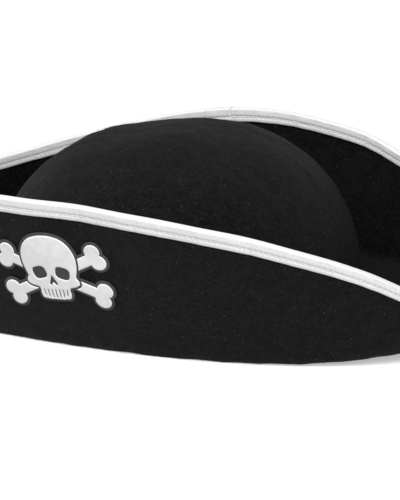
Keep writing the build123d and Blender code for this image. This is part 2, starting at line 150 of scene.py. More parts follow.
@dataclass
class MeshParts:
    """Vertices in millimetres and faces as vertex numbers, gathered part by part.

    Faces are held as one long array of corners and the number of corners of each.
    """

    spots: list[Array] = field(default_factory=list)
    corners: list[Array] = field(default_factory=list)
    sizes: list[Array] = field(default_factory=list)
    normals: list[Array] = field(default_factory=list)
    uvs: list[Array] = field(default_factory=list)
    total: int = 0

    def add(self, spots: Array, faces: Array, uv: Array | None = None) -> None:
        """Adds points and faces. A corner that a face has already had is left out.

        Args:
            spots: The points, with x, y, z last.
            faces: Rows of four corners, counted from the first of these points.
            uv: A pair of pattern lengths for each point.
        """
        flat = spots.reshape(-1, 3)
        fresh = np.stack([(faces[:, :i] != faces[:, i : i + 1]).all(1) for i in range(4)], 1)
        self.corners.append((faces + self.total)[fresh])
        self.sizes.append(fresh.sum(1))
        self.spots.append(np.maximum(flat, (-np.inf, -np.inf, GROUND)))
        self.uvs.append(np.zeros((len(flat), 2)) if uv is None else uv.reshape(-1, 2))
        self.total += len(flat)

    def shell(
        self,
        under: Array,
        upper: Array,
        under_normals: Array | None,
        upper_normals: Array | None,
        closed: bool,
        pole: bool,
        uv: Array | None = None,
        flip: bool = False,
    ) -> None:
        """Adds a closed shell between two grids of points that lie face to face.

        Args:
            under: The points of the face on the side of the grid's normals, as rows,
                columns, xyz.
            upper: The points of the other face.
            under_normals: Smooth normals of the first face, or None.
            upper_normals: Smooth normals of the other face, or None.
            closed: Joins the last row to the first.
            pole: Gathers each face's first column into one point.
            uv: A pair of pattern lengths for each point of a face.
            flip: Turns all faces over, where the first face is on the other side.
        """
        rows, columns = under.shape[:2]
        spots = np.concatenate([under, upper[:, ::-1]], 1)
        index = np.arange(rows * 2 * columns).reshape(rows, 2 * columns)
        if pole:
            index[:, 0], index[:, -1] = index[0, 0], index[0, -1]
        loop = index if pole else np.hstack([index, index[:, :1]])
        ring = np.vstack([loop, loop[:1]]) if closed else loop
        sides = np.stack([ring[:-1, :-1], ring[1:, :-1], ring[1:, 1:], ring[:-1, 1:]], -1).reshape(-1, 4)
        faces = [sides]
        if not closed:
            for row, turned in ((index[0], False), (index[-1], True)):
                near, far = row[:columns], row[::-1][:columns]
                cap = np.stack([near[:-1], near[1:], far[1:], far[:-1]], -1)
                faces.append(cap[:, ::-1] if turned else cap)
        every = np.concatenate(faces)
        both = None if uv is None else np.concatenate([uv, uv[:, ::-1]], 1)
        self.add(spots, every[:, ::-1] if flip else every, both)
        if under_normals is not None:
            self.normals.append(np.concatenate([under_normals, upper_normals[:, ::-1]], 1).reshape(-1, 3))

    def tubes(self, spine: Array, radii: Array, sides: int) -> None:
        """Adds many thin tubes, each a circle carried along its spine, with closed ends.

        Args:
            spine: Centre points as tubes, rings, xyz.
            radii: One radius for each ring.
            sides: How many sides each tube has.
        """
        count, rings = spine.shape[:2]
        along = unit(np.gradient(spine, axis=1))
        side = unit(np.cross(along, np.broadcast_to(TUBE_REFERENCE, along.shape)))
        other = np.cross(along, side)
        turn = np.arange(sides) * 2 * np.pi / sides
        circle = side[:, :, None] * np.cos(turn)[:, None] + other[:, :, None] * np.sin(turn)[:, None]
        skin = spine[:, :, None] + circle * radii[None, :, None, None]
        tip = TUBE_TIP * radii[[0, -1]][:, None] * along[:, [0, -1]] * np.array([[-1], [1]])
        ends = spine[:, [0, -1]] + tip
        spots = np.concatenate([skin.reshape(count, -1, 3), ends], 1)
        ring = np.arange(rings * sides).reshape(rings, sides)
        after = np.roll(ring, -1, 1)
        walls = np.stack([ring[:-1], after[:-1], after[1:], ring[1:]], -1).reshape(-1, 4)
        first, last = np.full(sides, rings * sides), np.full(sides, rings * sides + 1)
        start = np.stack([after[0], ring[0], first, first], -1)
        end = np.stack([ring[-1], after[-1], last, last], -1)
        one = np.concatenate([walls, start, end])
        faces = (one[None] + (np.arange(count) * spots.shape[1])[:, None, None]).reshape(-1, 4)
        reach = np.linalg.norm(spots - spots[:, -2:-1], axis=2)
        around = np.concatenate([np.tile(turn, rings), [0, 0]]) * radii.max()
        self.add(spots, faces, np.stack([reach, np.broadcast_to(around, reach.shape)], -1))

    def build(self, name: str, material: bpy.types.Material) -> bpy.types.Object:
        """Makes the object, at the origin, and leaves out points that no face uses.

        Args:
            name: The name of the object and of its mesh.
            material: Its finish.

        Returns:
            The new object, in the scene.
        """
        corners, sizes = np.concatenate(self.corners), np.concatenate(self.sizes)
        used, corners = np.unique(corners, return_inverse=True)
        mesh = bpy.data.meshes.new(name)
        mesh.vertices.add(len(used))
        mesh.vertices.foreach_set("co", (np.concatenate(self.spots)[used] * MM).astype(np.float32).ravel())
        mesh.loops.add(len(corners))
        mesh.loops.foreach_set("vertex_index", corners.astype(np.int32).ravel())
        mesh.polygons.add(len(sizes))
        mesh.polygons.foreach_set("loop_start", (np.cumsum(sizes) - sizes).astype(np.int32))
        mesh.polygons.foreach_set("use_smooth", np.ones(len(sizes), bool))
        mesh.update(calc_edges=True)
        layer = mesh.uv_layers.new(name=PATTERN)
        uv = np.concatenate(self.uvs)[used][corners.ravel()]
        layer.data.foreach_set("uv", uv.astype(np.float32).ravel())
        mesh.materials.append(material)
        if self.normals:
            mesh.normals_split_custom_set_from_vertices(np.concatenate(self.normals)[used].tolist())
        piece = bpy.data.objects.new(name, mesh)
        bpy.context.scene.collection.objects.link(piece)
        return piece


# ---------------------------------------------------------------- materials


def add_node(
    tree: bpy.types.NodeTree, kind: str, settings: dict | None = None, links: dict | None = None
) -> bpy.types.Node:
    """Adds a shader node with its settings and links.

    Args:
        tree: The material's node tree.
        kind: The node's type name, without the word ShaderNode.
        settings: Attribute names, or socket names or numbers, and their values.
        links: Input socket names or numbers, and the output sockets that feed them.

    Returns:
        The new node.
    """
    node = tree.nodes.new("ShaderNode" + kind)
    for name, value in (settings or {}).items():
        if isinstance(name, str) and hasattr(node, name):
            setattr(node, name, value)
        else:
            node.inputs[name].default_value = value
    for name, source in (links or {}).items():
        tree.links.new(source, node.inputs[name])
    return node


def new_material(
    name: str, sockets: dict[str, float | tuple]
) -> tuple[bpy.types.Material, bpy.types.NodeTree, bpy.types.Node]:
    """Makes a material with one shader.

    Args:
        name: The real material's name.
        sockets: The shader's values that are the same all over the piece.

    Returns:
        The material, its tree and its shader.
    """
    material = bpy.data.materials.new(name)
    material.use_nodes = True
    tree = material.node_tree
    tree.nodes.clear()
    shader = add_node(tree, "BsdfPrincipled", sockets)
    add_node(tree, "OutputMaterial", {}, {0: shader.outputs[0]})
    return material, tree, shader


@dataclass(frozen=True)
class Surface:
    """The last nodes of every finish: two mixed colours, and a bump."""

    dark: str
    light: str
    strength: float
    depth_mm: float

    def link(
        self,
        tree: bpy.types.NodeTree,
        shader: bpy.types.Node,
        share: bpy.types.NodeSocket,
        height: bpy.types.NodeSocket,
    ) -> bpy.types.NodeSocket:
        """Feeds the shader's colour and normal.

        Args:
            tree: The material's tree.
            shader: Its shader.
            share: How much of the light colour shows, from 0 to 1.
            height: What the bump is read from.

        Returns:
            The mixed colour.
        """
        colours = {"data_type": "RGBA", 6: srgb(self.dark), 7: srgb(self.light)}
        colour = add_node(tree, "Mix", colours, {0: share})
        bumps = {"Strength": self.strength, "Distance": self.depth_mm * MM}
        bump = add_node(tree, "Bump", bumps, {"Height": height})
        tree.links.new(colour.outputs[2], shader.inputs["Base Color"])
        tree.links.new(bump.outputs[0], shader.inputs["Normal"])
        return colour.outputs[2]


@dataclass(frozen=True)
class PressedFelt:
    """Black pressed polyester felt: matt, mottled, with a nap of fine loose fibres.

    The nap scatters light, so the cloth has a grey bloom where it is seen edge on, from the sheen, and
    a salt-and-pepper grain of lit fibre ends over dark gaps, which is painted into the colour as painted
    glints and painted shade.
    """

    name: str = "pressed_felt"
    dark: str = "020202"
    light: str = "181818"
    glint_fleck: str = "808080"
    bloom: str = "9a9a9c"
    fibre_mm: float = 0.45  # clumps of fibres; single ones of 0.02 mm are too fine to show
    mottle_mm: float = 5.0
    glint_spacing_mm: float = 3.4  # from one painted glint, a pale speck standing for a lit fibre end, to the next
    depth_mm: float = 0.5
    roughness: float = 0.66
    sheen: float = 0.05

    def make(self) -> bpy.types.Material:
        """Builds the material: stretched noise for fibres, soft noise for mottling."""
        sockets = {
            "Roughness": self.roughness,
            "Specular IOR Level": 0.08,
            "Sheen Weight": self.sheen,
            "Sheen Roughness": 0.45,
            "Sheen Tint": srgb(self.bloom),
        }
        material, tree, shader = new_material(self.name, sockets)
        spot = {"Vector": add_node(tree, "TexCoord").outputs["Object"]}
        fine, broad = 1 / (self.fibre_mm * MM), 1 / (self.mottle_mm * MM)
        fibre = {"Scale": fine, "Detail": 4.0, "Roughness": 0.7, "Distortion": 1.2}
        fibres = add_node(tree, "TexNoise", fibre, spot)
        clumps = add_node(tree, "TexNoise", {"Scale": 0.3 * fine, "Detail": 3.0, "Roughness": 0.6}, spot)
        mottle = add_node(tree, "TexNoise", {"Scale": broad, "Detail": 3.0, "Roughness": 0.55}, spot)
        both = {0: fibres.outputs[0], 1: clumps.outputs[0]}
        height = add_node(tree, "Math", {"operation": "ADD"}, both)
        mixing = {0: mottle.outputs[0], 2: height.outputs[0]}
        grain = add_node(tree, "Math", {"operation": "MULTIPLY_ADD", 1: 0.3}, mixing)
        # the share is higher on raised fibre ends and lower in the gaps between them, which is painted light
        # and painted shade, with a little random mottle mixed in
        share = add_node(tree, "MapRange", {"From Min": 1.06, "From Max": 1.36}, {"Value": grain.outputs[0]})
        surface = Surface(self.dark, self.light, 1.0, self.depth_mm)
        base = surface.link(tree, shader, share.outputs[0], height.outputs[0])
        # pale grey specks painted into the colour as glints on lit fibre ends, one round each Voronoi cell's
        # point
        glint_cells = add_node(tree, "TexVoronoi", {"Scale": 1 / (self.glint_spacing_mm * MM), "Randomness": 1.0}, spot)
        near = {"Value": glint_cells.outputs["Distance"]}
        speck = add_node(tree, "MapRange", {"From Min": 0.06, "From Max": 0.03}, near)
        flecks = {"data_type": "RGBA", 7: srgb(self.glint_fleck)}
        colour = add_node(tree, "Mix", flecks, {0: speck.outputs[0], 6: base})
        tree.links.new(colour.outputs[2], shader.inputs["Base Color"])
        return material


@dataclass(frozen=True)
class RibbedTape:
    """Woven polyester binding tape: fine cross ribs with a soft satin light on them.

    It reads the piece's own pattern lengths: u along the tape and v across it, in
    millimetres.
    """

    name: str
    thread: str
    # the colour painted into the low valleys between the ribs as painted shade
    shade: str
    rib_mm: float = 0.9
    roughness: float = 0.62
    sheen: float = 0.25
    depth_mm: float = 0.09
    cross_share: float = 1.7  # weft waves to each rib

    def make(self) -> bpy.types.Material:
        """Builds the material: rib waves along u, broken by fine yarn noise, with painted shade in the rib
        valleys.
        """
        sockets = {
            "Roughness": self.roughness,
            "Specular IOR Level": 0.35,
            "Sheen Weight": self.sheen,
            "Sheen Roughness": 0.4,
        }
        material, tree, shader = new_material(self.name, sockets)
        place = add_node(tree, "UVMap", {"uv_map": PATTERN}).outputs[0]
        parts = add_node(tree, "SeparateXYZ", {}, {0: place})
        turns = 2 * math.pi / self.rib_mm
        waves_found = []
        for axis, pace in enumerate((turns, turns * self.cross_share)):
            phase = add_node(tree, "Math", {"operation": "MULTIPLY", 1: pace}, {0: parts.outputs[axis]})
            wave = add_node(tree, "Math", {"operation": "SINE"}, {0: phase.outputs[0]})
            waves_found.append(wave.outputs[0])
        weave = add_node(tree, "Math", {"operation": "MULTIPLY"}, dict(enumerate(waves_found)))
        yarn = add_node(tree, "TexNoise", {"Scale": 1.1, "Detail": 3.0, "Roughness": 0.6}, {"Vector": place})
        woven = {"From Min": -1.0, "From Max": 1.0, "To Max": 0.7}
        rise = add_node(tree, "MapRange", woven, {"Value": weave.outputs[0]})
        both = {0: rise.outputs[0], 1: yarn.outputs[0]}
        height = add_node(tree, "Math", {"operation": "ADD"}, both).outputs[0]
        # low rib valleys take the shade colour as painted shade, and the raised ribs take the thread colour
        share = add_node(tree, "MapRange", {"From Min": 0.35, "From Max": 1.1}, {"Value": height})
        Surface(self.shade, self.thread, 0.7, self.depth_mm).link(tree, shader, share.outputs[0], height)
        return material


@dataclass(frozen=True)
class SoftSheet:
    """A thin printed or non-woven sheet: even, matt, with a faint grain and bloom."""

    name: str
    colour: str
    shade: str
    grain_mm: float
    roughness: float
    bump_mm: float

    def make(self) -> bpy.types.Material:
        """Builds the material: two octaves of noise shade and dent the sheet."""
        sockets = {"Roughness": self.roughness, "Specular IOR Level": 0.3}
        material, tree, shader = new_material(self.name, sockets)
        spot = {"Vector": add_node(tree, "TexCoord").outputs["Object"]}
        fine = 1 / (self.grain_mm * MM)
        grain = add_node(tree, "TexNoise", {"Scale": fine, "Detail": 4.0, "Roughness": 0.65}, spot)
        broad = add_node(tree, "TexNoise", {"Scale": 0.1 * fine, "Detail": 2.0}, spot)
        both = add_node(tree, "Math", {"operation": "ADD"}, {0: grain.outputs[0], 1: broad.outputs[0]})
        share = add_node(tree, "MapRange", {"From Min": 0.75, "From Max": 1.2}, {"Value": both.outputs[0]})
        surface = Surface(self.shade, self.colour, 0.6, self.bump_mm)
        surface.link(tree, shader, share.outputs[0], grain.outputs[0])
        return material


@dataclass(frozen=True)
class SpunThread:
    """Two-ply sewing thread: a spiral of bright plies with painted shade in the gaps between them."""

    name: str
    colour: str
    # the colour painted into the gaps between the plies as painted shade
    shade: str
    ply_mm: float = 0.5

    def make(self) -> bpy.types.Material:
        """Builds the material: slanted waves over u and v give the twist."""
        material, tree, shader = new_material(self.name, {"Roughness": 0.5, "Sheen Weight": 0.2})
        place = add_node(tree, "UVMap", {"uv_map": PATTERN})
        parts = add_node(tree, "SeparateXYZ", {}, {0: place.outputs[0]})
        both = add_node(tree, "Math", {"operation": "ADD"}, {0: parts.outputs[0], 1: parts.outputs[1]})
        pace = {"operation": "MULTIPLY", 1: 2 * math.pi / self.ply_mm}
        phase = add_node(tree, "Math", pace, {0: both.outputs[0]})
        ply = add_node(tree, "Math", {"operation": "SINE"}, {0: phase.outputs[0]})
        # the gaps between the plies take the shade colour as painted shade
        share = add_node(tree, "MapRange", {"From Min": -1.0, "From Max": 0.4}, {"Value": ply.outputs[0]})
        Surface(self.shade, self.colour, 0.5, 0.08).link(tree, shader, share.outputs[0], ply.outputs[0])
        return material


# ---------------------------------------------------------------- the felt's shape


@dataclass(frozen=True)
class Hood:
    """The shape of the felt hood, as functions of an angle and a place on its section.

    Angles go round the brim from +X towards the back. At each angle the felt's middle
    line runs from the crown's foot along the trough, round the fold and up the flap.
    """

    crown_half_width: float = 88.0
    crown_half_depth: float = 104.0
    crown_height: float = 85.0
    crown_fullness: float = 2.25
    wall_foot: float = 4.0
    felt: float = 2.2
    fold_half_length: float = 194.0
    fold_half_depth: float = 110.0
    edge_half_length: float = 197.0
    fold_fullness: float = 2.08
    fold_rounding: float = 8.0
    tip_rise: float = 22.0
    tip_rise_power: float = 5.7
    tip_height: float = 25.0
    front_height: float = 73.9
    front_lean: float = 22.0
    back_height: float = 73.2
    back_lean: float = -6.0
    fillet: float = 7.0  # at the crown's foot
    flap_bow: float = 1.2
    dents: float = 0.55
    dent_length: float = 46.0
    calm_height: float = 30.0  # no dents below this; above it they deepen over the fade
    calm_fade: float = 25.0
    # The edge in plan is 1 - x**power, raised to a second power, with x from 0 to 1.
    front_plan: tuple[float, float] = (2.4, 0.58)
    back_plan: tuple[float, float] = (2.25, 0.75)
    # The edge's height: shares of the way to the tip, and of the rise above the tip.
    front_profile: tuple = (
        (0, 1), (0.2, 0.98), (0.4, 0.885), (0.6, 0.715), (0.75, 0.47), (0.88, 0.14), (1, 0),
    )
    back_profile: tuple = (
        (0, 1), (0.2, 0.93), (0.4, 0.74), (0.6, 0.5), (0.75, 0.3), (0.88, 0.12), (1, 0),
    )
    # Points of a section: round the crown's foot, along the trough, round the fold, up the flap.
    section_points: tuple[int, int, int, int] = (10, 25, 14, 31)

    def floor(self, x: Array) -> Array:
        """The height of the felt's middle in the trough: level, then rising."""
        share = np.minimum(np.abs(x) / self.fold_half_length, 1)
        return self.felt / 2 + self.tip_rise * share**self.tip_rise_power

    def fold(self, angle: Array) -> Array:
        """The corner between trough and flap: nearly an ellipse in plan."""
        share = np.abs(np.cos(angle))
        side = np.where(np.sin(angle) < 0, -1, 1)
        depth = self.fold_half_depth * np.sqrt(np.maximum(0, 1 - share**self.fold_fullness))
        x = self.fold_half_length * np.cos(angle)
        return np.stack([x, side * depth, self.floor(x)], -1)

    def edge(self, angle: Array) -> Array:
        """The brim's edge: fuller in plan at the front, and higher in the middle.

        Args:
            angle: Angles round the brim.

        Returns:
            Points as angles, xyz.
        """
        share = np.minimum(np.abs(np.cos(angle)), 1)
        front = np.sin(angle) < 0
        full_front = np.maximum(0, 1 - share ** self.front_plan[0]) ** self.front_plan[1]
        full_back = np.maximum(0, 1 - share ** self.back_plan[0]) ** self.back_plan[1]
        front_y = -(self.fold_half_depth + self.front_lean) * full_front
        back_y = (self.fold_half_depth + self.back_lean) * full_back
        rise_front = (self.front_height - self.tip_height) * curve_through(self.front_profile, share)
        rise_back = (self.back_height - self.tip_height) * curve_through(self.back_profile, share)
        z = self.tip_height + np.where(front, rise_front, rise_back)
        return np.stack([self.edge_half_length * np.cos(angle), np.where(front, front_y, back_y), z], -1)

    def wall(self, angle: Array, height: Array, inset: float) -> Array:
        """Points of the crown's side at given heights, inset from its outside.

        The oval's size falls with height as a superellipse: the power sum of its share
        and of the climb's share is one.

        Args:
            angle: Angles round the crown.
            height: Heights above the floor, for all the angles.
            inset: How far inside the crown's outside.

        Returns:
            Points as angles, heights, xyz.
        """
        climb = self.crown_height - self.wall_foot - inset
        share = np.clip((height - self.wall_foot) / climb, 0, 1)
        narrow = (1 - share**self.crown_fullness) ** (1 / self.crown_fullness)
        x = (self.crown_half_width - inset) * np.cos(angle)[:, None] * narrow
        y = (self.crown_half_depth - inset) * np.sin(angle)[:, None] * narrow
        return np.stack([x, y, height + 0 * x], -1)

    def dome(self, angle: Array, count: int) -> Array:
        """The crown's middle surface, from its top down to the start of the fillet.

        Args:
            angle: Angles round the crown.
            count: How many points lie on each line down the crown.

        Returns:
            Points as angles, places, xyz.
        """
        inset = self.felt / 2
        climb = self.crown_height - self.wall_foot - inset
        foot = (inset + self.fillet - self.wall_foot) / climb
        last = math.asin(foot ** (self.crown_fullness / 2))
        turn = np.linspace(np.pi / 2, last, count)
        height = self.wall_foot + climb * np.sin(turn) ** (2 / self.crown_fullness)
        return self.wall(angle, height, inset)

    def section(self, angle: Array) -> tuple[Array, int]:
        """The middle line from the crown's side to the brim's edge.

        It is a parabola arc out of the crown's side, a straight trough, a parabola arc
        round the fold and a climb to the edge that bows out in its middle.

        Args:
            angle: One angle for each section.

        Returns:
            Points as angles, places, xyz, and the place where the fold starts.
        """
        foot_points, trough_points, fold_points, flap_points = self.section_points
        rim = self.wall(angle, np.array([self.wall_foot]), self.felt / 2)[:, 0]
        rim[:, 2] = self.floor(rim[:, 0])
        corner, edge = self.fold(angle), self.edge(angle)
        trough = corner[:, :2] - rim[:, :2]
        reach = np.linalg.norm(trough, axis=1)
        wall = edge - corner
        start = np.minimum(self.fillet / reach, 0.45)[:, None]
        level = 1 - np.minimum(self.fold_rounding / reach, 0.5)[:, None]
        climb = np.minimum(self.fold_rounding / np.linalg.norm(wall, axis=1), 0.45)[:, None]
        share = start + (level - start) * np.linspace(0, 1, trough_points)
        plan = rim[:, None, :2] + trough[:, None] * share[..., None]
        flat = np.concatenate([plan, self.floor(plan[..., :1])], -1)
        above = self.wall(angle, np.array([self.felt / 2 + self.fillet]), self.felt / 2)
        root = parabola(above, rim[:, None], flat[:, :1], foot_points)
        after = (corner + wall * climb)[:, None]
        turn = parabola(flat[:, -1:], corner[:, None], after, fold_points)
        t = np.linspace(0, 1, flap_points)[None, :, None]
        rise = after + (edge[:, None] - after) * t
        ahead = self.fold(angle + SMALL_TURN) - self.fold(angle - SMALL_TURN)
        out = unit(np.cross(ahead, wall))[:, None]
        rise = rise + out * self.flap_bow * 4 * t * (1 - t) * np.abs(np.sin(angle))[:, None, None]
        line = np.concatenate([root, flat[:, 1:], turn[:, 1:], rise[:, 1:]], 1)
        return line, foot_points + trough_points - 2

    def place(self, angle: Array, inward: Array) -> Array:
        """Points of the middle surface, measured from the edge along each section.

        Args:
            angle: One angle for each section.
            inward: Lengths in from the edge, for all the sections or one row for each.
                Past the edge, where they are under 0, the line runs on straight.

        Returns:
            Points as angles, lengths, xyz.
        """
        line, _ = self.section(angle)
        steps = np.linalg.norm(np.diff(line, axis=1), axis=2)
        so_far = np.concatenate([np.zeros((len(line), 1)), np.cumsum(steps, 1)], 1)
        length = so_far[:, -1:] - np.broadcast_to(inward, (len(angle), np.shape(inward)[-1]))
        order = (so_far[:, None, 1:-1] < length[:, :, None]).sum(-1)
        row = np.arange(len(angle))[:, None]
        before, after = so_far[row, order], so_far[row, order + 1]
        share = ((length - before) / (after - before))[..., None]
        return line[row, order] * (1 - share) + line[row, order + 1] * share

    def normal(self, angle: Array, inward: Array) -> Array:
        """The felt's direction down under the trough and out of a flap."""
        step, reach = 2 * SMALL_TURN, 0.6
        near = np.maximum(inward, 0.0) + reach
        along = self.place(angle + step, near) - self.place(angle - step, near)
        across = self.place(angle, near - reach) - self.place(angle, near + reach)
        return unit(np.cross(along, across))

    def lifted(self, angle: Array, inward: Array, lift: Array | float) -> Array:
        """Points a lift off the middle surface, with the felt's slow waviness in it."""
        middle = self.place(angle, inward)
        push = self.waviness(middle) + lift
        return middle + self.normal(angle, inward) * np.asarray(push)[..., None]

    def waviness(self, spots: Array) -> Array:
        """How far the felt stands off its ideal surface: soft dents, none at the foot."""
        fade = smooth((spots[..., 2] - self.calm_height) / self.calm_fade)
        return self.dents * waves(spots, self.dent_length, 3) * fade

    def even_angles(self, start: float, end: float, pitch: float) -> tuple[Array, Array]:
        """Angles that divide the edge into equal steps, and the lengths to them.

        Args:
            start: The first angle.
            end: The last angle.
            pitch: About how long a step is.

        Returns:
            The angles, and the length from the first to each.
        """
        fine = np.linspace(start, end, 4001)
        steps = np.linalg.norm(np.diff(self.edge(fine), axis=0), axis=1)
        so_far = np.concatenate([[0.0], np.cumsum(steps)])
        lengths = np.linspace(0, so_far[-1], max(2, round(so_far[-1] / pitch)) + 1)
        return np.interp(lengths, so_far, fine), lengths


def parabola(start: Array, corner: Array, end: Array, count: int) -> Array:
    """Arcs that leave start and reach end along straight lines to their corner.

    The three points are weighed by (1 - t) squared, 2t(1 - t) and t squared.

    Args:
        start: The arcs' first points, as rows, one, xyz.
        corner: Where their end directions meet.
        end: Their last points.
        count: How many points stand for each arc.

    Returns:
        Points as rows, places, xyz.
    """
    t = np.linspace(0, 1, count)[None, :, None]
    return start * (1 - t) ** 2 + corner * (2 * t * (1 - t)) + end * t**2


def grid_normals(spots: Array, closed: bool) -> Array:
    """Unit normals of a grid of points, from the differences along rows and columns."""
    if closed:
        along = np.roll(spots, -1, 0) - np.roll(spots, 1, 0)
    else:
        along = np.gradient(spots, axis=0)
    return unit(np.cross(along, np.gradient(spots, axis=1)))


# ---------------------------------------------------------------- how pieces move


@dataclass(frozen=True)
class FlapFlex:
    """Felt that belongs to a flap: its side, its body, two distances from the hat's centre line,
    still and moving, along a line at this slope, and that slope.

    None of these is read: a piece given one keeps its shape and only has its placement baked into its mesh.
    """

    side: Side
    body: str
    still: float
    moving: float
    slope: float = math.radians(60)

    def bend(self, piece: bpy.types.Object) -> None:
        """Bakes a piece's placement into its mesh; it doesn't bend the piece."""
        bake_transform(piece)


FLEX = {
    Side.FRONT: FlapFlex(Side.FRONT, "front_flap", 60.0, 122.0),
    Side.BACK: FlapFlex(Side.BACK, "back_flap", 58.0, 110.0),
}
HALF_TURNS = {Side.FRONT: (-np.pi, 0.0), Side.BACK: (0.0, np.pi)}


def finish_piece(
    piece: bpy.types.Object, nodes: list[str], flex: FlapFlex | None = None, body: str = "root"
) -> bpy.types.Object:
    """Hides the CAD nodes that a piece stands for, and ties the piece to its body if it has no flex.

    Args:
        piece: The object.
        nodes: The CAD nodes that it stands for.
        flex: The flap that it belongs to, if it crosses a flap's fold. The piece then only has its placement
            baked into its mesh: it isn't bent, nor tied to a body.
        body: The body that it rides on, if it has no flex.

    Returns:
        The same object.
    """
    if nodes:
        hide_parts(*nodes)
    if flex:
        flex.bend(piece)
    else:
        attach(piece, body)
    LOG.info("%s: %d triangles", piece.name, sum(len(p.vertices) - 2 for p in piece.data.polygons))
    return piece


# ---------------------------------------------------------------- felt


@dataclass
class FeltHood:
    """The pressed felt hood, as four shells that meet edge to edge."""

    shape: Hood
    rows: int = 480
    dome_columns: int = 62
    top_columns: int = 8  # over these the dents fade to one height at the crown's top
    foot_columns: int = 8  # from the dome down to where the crown's shell ends
    ripple: float = 0.16  # the uneven surface of pressed fibres
    ripple_length: float = 13.0

    def build(self, felt: bpy.types.Material) -> list[bpy.types.Object]:
        """Makes the crown, the trough and the two flaps from one grid of points.

        The felt's middle surface is pushed along its normals by the dents, and its two
        faces stand half a thickness and the ripple off that.

        Args:
            felt: The finish.

        Returns:
            The four pieces.
        """
        hood = self.shape
        angle = np.arange(self.rows) * 2 * np.pi / self.rows - np.pi
        line, fold = hood.section(angle)
        dome = hood.dome(angle, self.dome_columns)
        middle = np.concatenate([dome[:, :-1], line], 1)
        normals = grid_normals(middle, closed=True)
        normals[:, 0] = (0, 0, -1)
        push = hood.waviness(middle)
        fade, top = smooth(np.linspace(0, 1, self.top_columns)), push[:, :1].mean()
        push[:, : self.top_columns] = push[:, : self.top_columns] * fade + top * (1 - fade)
        middle = middle + normals * push[..., None]
        normals = grid_normals(middle, closed=True)
        normals[:, 0] = (0, 0, -1)
        fine = self.ripple * waves(middle, self.ripple_length, 8, 32)
        fine[:, 0] = fine[:, 0].mean()
        reach = normals * (hood.felt / 2 + fine)[..., None]
        under, upper = middle + reach, middle - reach
        under_normals = grid_normals(under, closed=True)
        upper_normals = -grid_normals(upper, closed=True)
        under_normals[:, 0], upper_normals[:, 0] = (0, 0, -1), (0, 0, 1)
        first, second = self.dome_columns - 1 + self.foot_columns, self.dome_columns - 1 + fold
        layers = (under, upper, under_normals, upper_normals)
        crown = self.shell("crown_felt", felt, [a[:, : first + 1] for a in layers], True, True)
        brim = self.shell("brim_felt", felt, [a[:, first : second + 1] for a in layers], True, False)
        finish_piece(crown, ["crown"])
        finish_piece(brim, ["brim"])
        half_rows = self.rows // 2
        around = np.concatenate([np.arange(self.rows), [0]])
        pieces = [crown, brim]
        for side, part in ((Side.FRONT, around[: half_rows + 1]), (Side.BACK, around[half_rows:])):
            name = side.name.lower() + "_flap"
            flap = self.shell(name + "_felt", felt, [a[part][:, second:] for a in layers], False, False)
            pieces.append(finish_piece(flap, [name], FLEX[side]))
        return pieces

    def shell(
        self, name: str, felt: bpy.types.Material, layers: list[Array], closed: bool, pole: bool
    ) -> bpy.types.Object:
        """Makes one closed shell from its two faces and their normals."""
        parts = MeshParts()
        parts.shell(*layers, closed=closed, pole=pole)
        return parts.build(name, felt)


